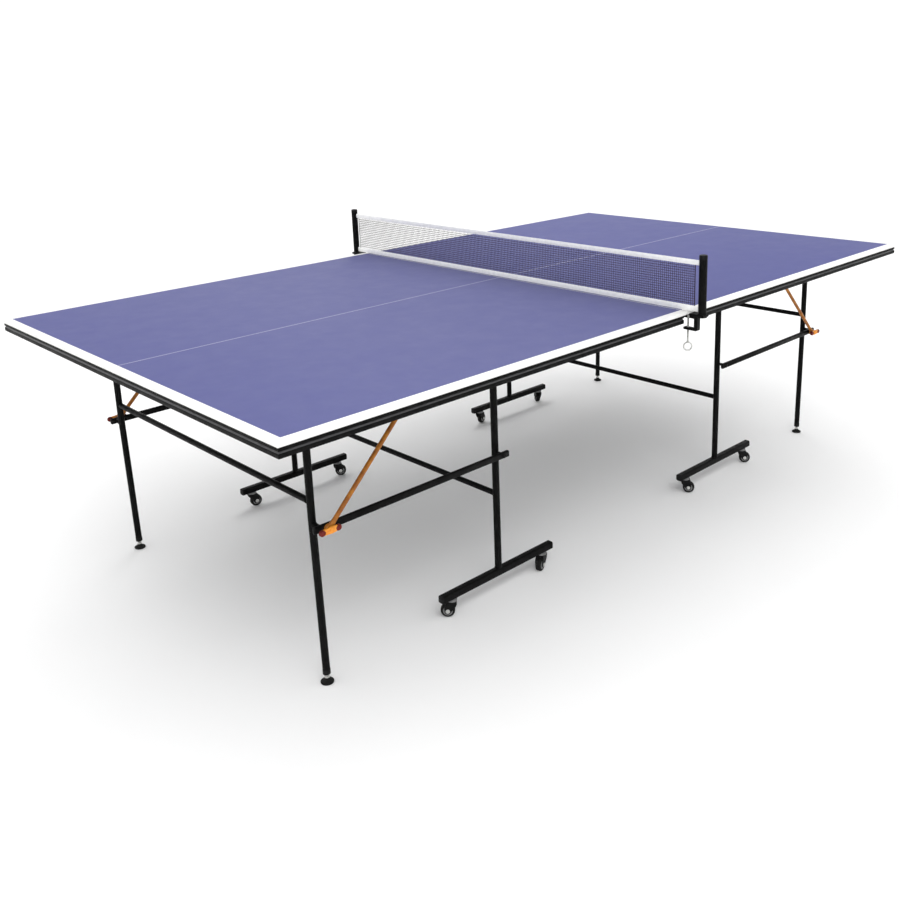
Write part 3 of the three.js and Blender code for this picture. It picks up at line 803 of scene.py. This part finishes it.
def leg(half, name, side):
    y = side * LEG_Y
    shape = Shape()
    neck = HINGE.z - 15
    lean = Vector((FOOT_PLACE.x - LEG_X, 0, 24 - LEG_BEND_Z)).normalized()
    path = [Vector((LEG_X, y, neck)), Vector((LEG_X, y, LEG_BEND_Z + 24))]
    path += [Vector((LEG_X, y, LEG_BEND_Z)) + Vector((0, 0, 24)) * (1 - t) ** 2 + lean * 24 * t ** 2 for t in (0.33, 0.66)]
    path += [Vector((LEG_X, y, LEG_BEND_Z)) + lean * 24, Vector((FOOT_PLACE.x, y, 24))]
    tube(shape, path, LEG_RADIUS, "black")
    slotted_head(shape, LEG_X, y, LEG_RADIUS, neck - 1)
    link_in = LINK_LOW.y - LEG_Y
    link_out = LINK_OUTER - LEG_Y
    origin = (LEG_X, y, LINK_Z)
    lathe(shape, [(7.7, LEG_RADIUS - 3), (7.7, link_in - 3), (7.0, link_in - 0.6)], origin, (0, side, 0), "black")
    weld(shape, (LEG_X, y + side * (LEG_RADIUS + 0.2), LINK_Z), (0, 1, 0), 7.4, 1.2)
    lathe(shape, [(4.9, link_in - 1), (4.9, link_out + 0.6)], origin, (0, side, 0), "plastic", SMALL_SIDES)
    button_head(shape, (LEG_X, y + side * (link_out + 0.4), LINK_Z), (0, side, 0), 7.6, 1.4, "plastic")
    # sleeve where the bent end is pressed over the levelling foot's nut
    foot = Vector((FOOT_PLACE.x, y, 24))
    tube(shape, [foot - lean * 14, foot + Vector((0, 0, 0.2))], LEG_RADIUS + 0.5, "plastic", chamfer=0.8)
    return build(f"{name}_leg_tube", shape, half, f"{half}_legs", f"{name}_leg")


def foot(half, name, side):
    shape = Shape()
    place = (FOOT_PLACE.x, side * FOOT_PLACE.y, 0)
    pad = [(14.5, 0), (16.2, 0.5), (16.9, 1.8), (16.9, 3.8), (16, 5), (12, 6.6), (8.4, 9), (6.8, 12), (6.2, 14)]
    lathe(shape, [(0.2, 1.2), (11, 1.2), (12, 0), *pad, (0.3, 14)], place, (0, 0, 1), "rubber")
    lathe(shape, [(6.6, 14), (7.4, 14.6), (7.4, 18.4), (6.6, 19)], place, (0, 0, 1), "zinc", 6)
    stem = [(3.2, 13)] + [(4.6 if i % 2 else 4.0, 14 + i * 0.55) for i in range(18)] + [(3.6, 26), (0.3, 40)]
    lathe(shape, stem, place, (0, 0, 1), "zinc", SMALL_SIDES)
    return build(f"{name}_foot_pad", shape, half, f"{name}_foot", f"{name}_foot")


# ---- Linkage ----

EYE_THICKNESS = 12


def link_bar(half, name, side):
    shape = Shape()
    thickness = LINK_OUTER - LINK_LOW.y
    y = side * LINK_PIVOT.y
    height = LINK_HIGH.z - LINK_LOW.z
    outline = rounded_rectangle(thickness, height, 3, 4)
    x0, x1 = LINK_LOW.x + 4, LINK_HIGH.x - 4
    sweep(shape, [(x0, y, LINK_Z), (x1, y, LINK_Z)], outline, "black", 0.5)
    for end, sign in ((x0, -1), (x1, 1)):
        cap = [(0.0, 1.0), (1.5, 1.0), (2.8, 0.9), (3.6, 0.72), (4.0, 0.4)]
        loft(shape, [
            [Vector((end + sign * depth, y + a * share, LINK_Z + b * share)) for a, b in outline]
            for depth, share in cap
        ], "plastic")
    # the pin that carries the strut and its lever
    origin = (STRUT_PIVOT.x, y, LINK_Z)
    pin_end = LEVER_HIGH.y - LINK_PIVOT.y
    lathe(shape, [(3.9, 0), (3.9, pin_end + 1)], origin, (0, side, 0), "plastic", SMALL_SIDES)
    spacer_end = STRUT_PIVOT.y - EYE_THICKNESS / 2 - 0.3 - LINK_PIVOT.y
    lathe(shape, [(6.8, 4.5), (6.8, spacer_end)], origin, (0, side, 0), "plastic")
    button_head(shape, (STRUT_PIVOT.x, side * (LEVER_HIGH.y + 0.4), LINK_Z), (0, side, 0), 6.8, 1.9, "orange_plastic")
    return build(f"{name}_link_tube", shape, half, f"{name}_link_bar", f"{name}_link_bar")


STRUT_RADIUS = 6


def strut(half, name, side):
    """The orange lock rod: an eye on the link bar's pin and a cross pin under the top."""
    shape = Shape()
    y = side * STRUT_PIVOT.y
    low = Vector((STRUT_PIVOT.x, y, LINK_Z))
    high = Vector((STRUT_LOW.x + STRUT_RADIUS, y, STRUT_HIGH.z - STRUT_RADIUS))
    along = (high - low).normalized()
    across = Vector((0, side, 0))
    rise = Vector((along.z, 0, -along.x))
    rod = STRUT_RADIUS - 0.2
    tube(shape, [low + along * 22, high - along * 2], rod, "orange", 20)
    # the rod's end pressed out into an eye: distance, width and thickness either way
    flats = [(0, 10.4, 5.6), (6, 9.8, 5.6), (13, 7.8, 5.7), (20, 6.4, 5.8), (27, 5.8, 5.8)]
    for start, stop in zip(flats, flats[1:]):
        rings = []
        for distance, wide, thick in (start, stop):
            rings.append([
                low + along * distance + rise * (wide * math.cos(a)) + Vector((0, thick * math.sin(a), 0))
                for a in (2 * math.pi * i / 20 for i in range(20))
            ])
        loft(shape, rings, "orange")
    lathe(shape, [(10.0, -5.9), (10.8, -5.2), (10.8, 5.2), (10.0, 5.9)], low, across, "orange")
    # the cross pin that bears on the keeper
    reach = (STRUT_HIGH.y - STRUT_LOW.y) / 2 - 0.2
    tube(shape, [high - across * reach, high + across * reach], rod, "plastic", 20, 0.9)
    weld(shape, high - along * 6, along, rod - 0.6, 0.7, "plastic")
    return build(f"{name}_strut_rod", shape, half, f"{name}_lock_strut", f"{name}_lock_strut")


def curve(points, steps):
    """A quadratic curve through an outline's control points: start, handle, end."""
    a, b, c = (Vector(p) for p in points)
    return [a * (1 - t) ** 2 + b * 2 * t * (1 - t) + c * t * t for t in (i / steps for i in range(1, steps + 1))]


LEVER_BOSS = 8.8
LEVER_TIP = 7.0
LEVER_OUTER = 27
LEVER_INNER = 19


def lever_outline():
    """The grip's outline: x runs outward from the pin."""
    tip, boss = LEVER_TIP, LEVER_BOSS
    outline = [
        Vector((LEVER_OUTER + tip * math.cos(a), tip * math.sin(a)))
        for a in (math.pi * (i / 12 - 0.5) for i in range(13))
    ]
    outline += curve([(LEVER_OUTER, tip), (LEVER_OUTER / 2, tip), (0, boss)], 6)
    outline += curve([(0, boss), (-LEVER_INNER / 2, tip), (-LEVER_INNER, tip)], 6)
    outline += [
        Vector((-LEVER_INNER - tip * math.sin(a), tip * math.cos(a)))
        for a in (math.pi * i / 12 for i in range(1, 13))
    ]
    outline += curve([(-LEVER_INNER, -tip), (-LEVER_INNER / 2, -tip), (0, -boss)], 6)
    outline += curve([(0, -boss), (LEVER_OUTER / 2, -tip), (LEVER_OUTER, -tip)], 6)[:-1]
    return [(p.x, p.y) for p in outline]


def lever(half, name, side):
    """The orange hand lever, with ribs on its grip and dark red ends."""
    shape = Shape()
    along, rise = Vector((1, 0, 0)), Vector((0, 0, 1))
    y_in, y_out = LEVER_LOW.y + 0.1, LEVER_HIGH.y - 0.1
    thickness = y_out - y_in
    origin = Vector((STRUT_PIVOT.x, side * (y_in + y_out) / 2, LINK_Z))
    prism(shape, lever_outline(), origin, along, rise, thickness - 1.2, "orange_plastic", 1.0)
    for distance in (10.5, 13.5, 16.5):
        rib = rounded_rectangle(1.4, 9.5, 0.6, 3)
        prism(shape, rib, origin + along * distance, along, rise, thickness - 0.2, "orange_plastic", 0.4)
    end_cap = rounded_rectangle(16, 14.8, 7.3, 8)
    for centre in (LEVER_OUTER - 0.6, 0.6 - LEVER_INNER):
        prism(shape, end_cap, origin + along * centre, along, rise, thickness - 0.1, "red", 0.7)
    face = thickness / 2
    rim = [(7.6, face - 1), (7.6, face - 0.4), (6.8, face)]
    lathe(shape, rim, origin, (0, side, 0), "orange_plastic")
    cad_node = f"{name}_lock_lever"
    return build(f"{name}_lever_grip", shape, half, cad_node, cad_node)


# ---- Net set, in the table's frame ----

NET_PITCH = 7.0
STRAND = 1.5
STRAND_SIDES = 4
TAPE_TOP = 15.0
TAPE_BOTTOM = 17.0
POST_GAP = 14.0  # from the mesh's edge to the net post


def strand(points, faces, path, widths, sides):
    """One cord of the net: rings about each point of its path."""
    start = len(points)
    direction = (path[1] - path[0]).normalized()
    side, across = axes_along(direction, Vector((1, 0, 0)))
    offsets = [(math.cos(2 * math.pi * k / sides), math.sin(2 * math.pi * k / sides)) for k in range(sides)]
    for point, width in zip(path, widths):
        points.extend(point + (side * c + across * s) * width for c, s in offsets)
    for i in range(len(path) - 1):
        a = start + i * sides
        for k in range(sides):
            after = (k + 1) % sides
            faces.append((a + k, a + after, a + sides + after, a + sides + k))
    faces.append(tuple(start + k for k in range(sides - 1, -1, -1)))
    faces.append(tuple(start + (len(path) - 1) * sides + k for k in range(sides)))


def net_mesh():
    """Knotted cord mesh between the tapes. Its cords cross in front and behind by turns."""
    shape = Shape()
    y_reach = NET_HIGH.y - POST_GAP
    z0, z1 = NET_LOW.z + TAPE_BOTTOM - 1, NET_HIGH.z - TAPE_TOP + 1
    columns = round(2 * y_reach / NET_PITCH)
    rows = round((z1 - z0) / NET_PITCH)
    ys = [-y_reach + 2 * y_reach * i / columns for i in range(columns + 1)]
    zs = [z0 + (z1 - z0) * i / rows for i in range(rows + 1)]
    points, faces = [], []
    knot, thin = STRAND * 0.62, STRAND * 0.5
    sag = 0.1

    def wander(i, j):
        """A small shift of each knot, the same every time."""
        return sag * math.sin(i * 1.7 + j * 0.9), sag * math.sin(i * 0.8 - j * 2.1)

    for i, y in enumerate(ys):
        path, widths = [], []
        for j, z in enumerate(zs):
            dy, dz = wander(i, j) if 0 < j < rows else (0, 0)
            shift = 0.22 if (i + j) % 2 else -0.22
            path.append(Vector((shift, y + dy, z + dz)))
            widths.append(knot)
            if j < rows:
                path += [Vector((shift, y + dy, z + dz + 1.4)), Vector((-shift, y, zs[j + 1] - 1.4))]
                widths += [thin, thin]
        strand(points, faces, path, widths, STRAND_SIDES)
    for j in range(1, rows):
        path, widths = [], []
        for i, y in enumerate(ys):
            dy, dz = wander(i, j)
            shift = -0.22 if (i + j) % 2 else 0.22
            path.append(Vector((shift, y + dy, zs[j] + dz)))
            widths.append(knot)
            if i < columns:
                path += [Vector((shift, y + dy + 1.4, zs[j] + dz)), Vector((-shift, ys[i + 1] - 1.4, zs[j]))]
                widths += [thin, thin]
        strand(points, faces, path, widths, STRAND_SIDES)
    shape.add(points, faces, "cord")
    return build("net_mesh", shape, "table", "right_top", "net")


def net_tapes():
    """The folded white tapes along the net, and the dark cords at its two ends."""
    shape = Shape()
    reach = NET_HIGH.y
    wide = 0.9
    steps = 60

    def tape(z0, z1):
        rings = []
        for i in range(steps + 1):
            y = -reach + 2 * reach * i / steps
            ripple = 0.05 * math.sin(i * 1.9)
            outline = rounded_rectangle(2 * wide - 0.1, z1 - z0, 0.8, 2)
            centre = Vector((ripple, y, (z0 + z1) / 2))
            rings.append([centre + Vector((x, 0, z)) for x, z in outline])
        loft(shape, rings, "tape")

    tape(NET_HIGH.z - TAPE_TOP, NET_HIGH.z - 0.1)
    tape(NET_LOW.z + 0.1, NET_LOW.z + TAPE_BOTTOM)
    for side in (-1, 1):
        y = side * (reach - POST_GAP)
        outline = rounded_rectangle(2 * wide - 0.4, 3.2, 0.6, 2)
        rings = []
        for i in range(9):
            z = NET_LOW.z + 2 + (NET_HIGH.z - NET_LOW.z - 4) * i / 8
            rings.append([Vector((x, y + w, z)) for x, w in outline])
        loft(shape, rings, "cord")
    return build("net_tapes", shape, "table", "right_top", ())


def net_post(name, side):
    """Clamp, arm and post as one welded bracket, with a plastic cap and a screw head underneath."""
    shape = Shape()
    y_post = side * 814
    x_clamp = 26
    width = 16
    x0, x1 = x_clamp - width / 2, x_clamp + width / 2
    plate = 7
    back_in, back_out = 774, 786
    jaw_z = BRACKET_LOW.z
    top = TOP_Z + 0.3
    # the C of the clamp as one bent strap
    profile = [
        (728, top), (728, top + plate - 2), (730, top + plate), (back_out - 5, top + plate), (back_out - 1.5, top + plate - 1.5),
        (back_out, top + plate - 5), (back_out, jaw_z + 5), (back_out - 1.5, jaw_z + 1.5), (back_out - 5, jaw_z),
        (740, jaw_z), (738, jaw_z + 2), (738, jaw_z + plate), (back_in - 2, jaw_z + plate), (back_in, jaw_z + plate + 2),
        (back_in, top - 0.2), (763, top - 0.2), (763, top),
    ]
    prism(shape, profile, (x_clamp, 0, 0), (0, side, 0), (0, 0, 1), width, "black", 0.9)
    arm_z = 751
    arm = [(-13.6, 779), (x1 - 1, 779), (x1 - 1, 795), (12, 827.6), (-13.6, 827.6)]
    arm = [(x, side * y) for x, y in arm]
    prism(shape, arm, (0, 0, arm_z + plate / 2), (1, 0, 0), (0, 1, 0), plate, "black", 0.9)
    socket = [(13.8, 749), (13.8, 759.2), (13, 760)]
    lathe(shape, socket, (0, y_post, 0), (0, 0, 1), "black")
    tube(shape, [(0, y_post, 752), (0, y_post, BRACKET_HIGH.z - 5)], 11.7, "black")
    cap = [(11.9, -14), (11.9, -3.2), (10.8, -1.2), (7.0, -0.2), (0.3, 0)]
    lathe(shape, cap, (0, y_post, BRACKET_HIGH.z), (0, 0, 1), "plastic")
    button_head(shape, (0, y_post, 749.2), (0, 0, -1), 5, 2)
    return build(f"{name}_net_post", shape, "table", "right_top", f"{name}_net_bracket")


def clamp_screw(name, side):
    shape = Shape()
    x, y = 26, side * 750
    top = BOARD_Z - 0.3
    ring_z, ring_radius, wire = 646, 12, 2.1
    ring_top = ring_z + ring_radius
    thread = [(2.4, ring_top)]
    z = ring_top + 2
    while z < top - 6:
        thread += [(3.0, z), (2.5, z + 0.8)]
        z += 1.6
    thread += [(2.6, top - 4)]
    lathe(shape, thread, (x, y, 0), (0, 0, 1), "zinc", SMALL_SIDES)
    pad = [(3.2, top - 5), (5.5, top - 4.4), (7.6, top - 3), (7.9, top - 1.8), (7.9, top - 0.1)]
    lathe(shape, pad, (x, y, 0), (0, 0, 1), "plastic")
    turn = Matrix.Translation((x, y, ring_z)) @ Matrix.Rotation(-math.pi / 4, 4, "Z")
    ring = []
    for i in range(32):
        angle = 2 * math.pi * i / 32
        out = Vector((math.cos(angle), 0, math.sin(angle)))
        ring.append([
            turn @ (out * (ring_radius + wire * math.cos(b)) + Vector((0, wire * math.sin(b), 0)))
            for b in (2 * math.pi * k / 12 for k in range(12))
        ])
    loft(shape, ring, "zinc", closed=True)
    collar = [(4.2, ring_top - 1.5), (4.6, ring_top - 0.5), (4.6, ring_top + 2), (3.4, ring_top + 3)]
    lathe(shape, collar, (x, y, 0), (0, 0, 1), "zinc", SMALL_SIDES)
    return build(f"{name}_screw_rod", shape, "table", f"{name}_clamp_screw", f"{name}_clamp_screw")


# ---- The whole table ----

for half, outward in HALVES.items():
    table_top(half)
    steel_frame(half)
    crossbar(half, "trolley_crossbar", f"{half}_trolley", CROSS_LOW, CROSS_HIGH, POST_X)
    crossbar(half, "leg_crossbar", f"{half}_legs", LEG_CROSS_LOW, LEG_CROSS_HIGH, LEG_X)
    for side_name, side in SIDES.items():
        local = side * outward
        name = f"{half}_{side_name}"
        post(half, name, local)
        base_bar(half, name, local)
        leg(half, name, local)
        foot(half, name, local)
        link_bar(half, name, local)
        strut(half, name, local)
        lever(half, name, local)
        for place in ("inner", "outer"):
            caster(half, name, place)

mesh_piece = net_mesh()
tape_piece = net_tapes()
for side_name, side in SIDES.items():
    net_post(side_name, side)
    clamp_screw(side_name, side)


# ---- Floor, light and camera ----

def floor():
    """A pale floor that curves up into a backdrop all round."""
    rings = [(0.01, 0), (6, 0), (14, 0)]
    rings += [(14 + 8 * math.sin(a), 8 - 8 * math.cos(a)) for a in (math.pi / 2 * i / 12 for i in range(1, 13))]
    rings += [(22, 16)]
    sides = 64
    points, faces = [], []
    for radius, z in rings:
        points += [(x, y, z) for x, y in circle(radius, sides)]
    for i in range(len(rings) - 1):
        for j in range(sides):
            k = (j + 1) % sides
            faces.append((i * sides + j, (i + 1) * sides + j, (i + 1) * sides + k, i * sides + k))
    faces.append(tuple(range(sides)))
    mesh = bpy.data.meshes.new("studio_floor")
    mesh.from_pydata(points, [], faces)
    made = material("pale_floor", (0.97, 0.97, 0.97), 0.9)
    mottle(made, (0.965, 0.965, 0.965), (0.975, 0.975, 0.975), 400)
    mesh.materials.append(made)
    mesh.shade_smooth()
    piece = bpy.data.objects.new("studio_floor", mesh)
    scene.collection.objects.link(piece)


def soft_light(name, place, size, power, target=(0, 0, 0.5)):
    lamp = bpy.data.lights.new(name, "AREA")
    lamp.shape = "DISK"
    lamp.size = size
    lamp.energy = power
    holder = bpy.data.objects.new(name, lamp)
    holder.location = place
    holder.rotation_euler = (Vector(target) - Vector(place)).to_track_quat("-Z", "Y").to_euler()
    scene.collection.objects.link(holder)


def studio():
    world = bpy.data.worlds.new("studio_world")
    world.use_nodes = True
    world.node_tree.nodes["Background"].inputs["Color"].default_value = (1, 1, 1, 1)
    world.node_tree.nodes["Background"].inputs["Strength"].default_value = 1.15
    scene.world = world
    scene.view_settings.view_transform = "Standard"
    soft_light("key_light", (-3.0, -4.5, 5.5), 4.0, 120)
    soft_light("back_light", (3.5, 4.0, 5.0), 3.0, 60)


CAMERA_PLACE = Vector((-2.3005, -2.3360, 1.4479))
YAW, PITCH, ROLL = 0.762, 0.2466, -0.0308
FOCAL_PIXELS = 976.9
IMAGE_SIZE = 900
VIEW_CENTRE = (486.2, 316.5)


def camera():
    data = bpy.data.cameras.new("camera")
    data.sensor_width = 36
    data.lens = FOCAL_PIXELS / IMAGE_SIZE * data.sensor_width
    data.shift_x = (IMAGE_SIZE / 2 - VIEW_CENTRE[0]) / IMAGE_SIZE
    data.shift_y = (VIEW_CENTRE[1] - IMAGE_SIZE / 2) / IMAGE_SIZE
    data.clip_start, data.clip_end = 0.05, 100
    forward = Vector((math.cos(PITCH) * math.sin(YAW), math.cos(PITCH) * math.cos(YAW), -math.sin(PITCH)))
    right = Vector((math.cos(YAW), -math.sin(YAW), 0))
    up = right.cross(forward)
    rolled_right = math.cos(ROLL) * right + math.sin(ROLL) * up
    rolled_up = -math.sin(ROLL) * right + math.cos(ROLL) * up
    turn = Matrix((rolled_right, rolled_up, -forward)).transposed().to_4x4()
    holder = bpy.data.objects.new("camera", data)
    holder.matrix_world = Matrix.Translation(CAMERA_PLACE) @ turn
    scene.collection.objects.link(holder)
    scene.camera = holder


floor()
studio()
camera()
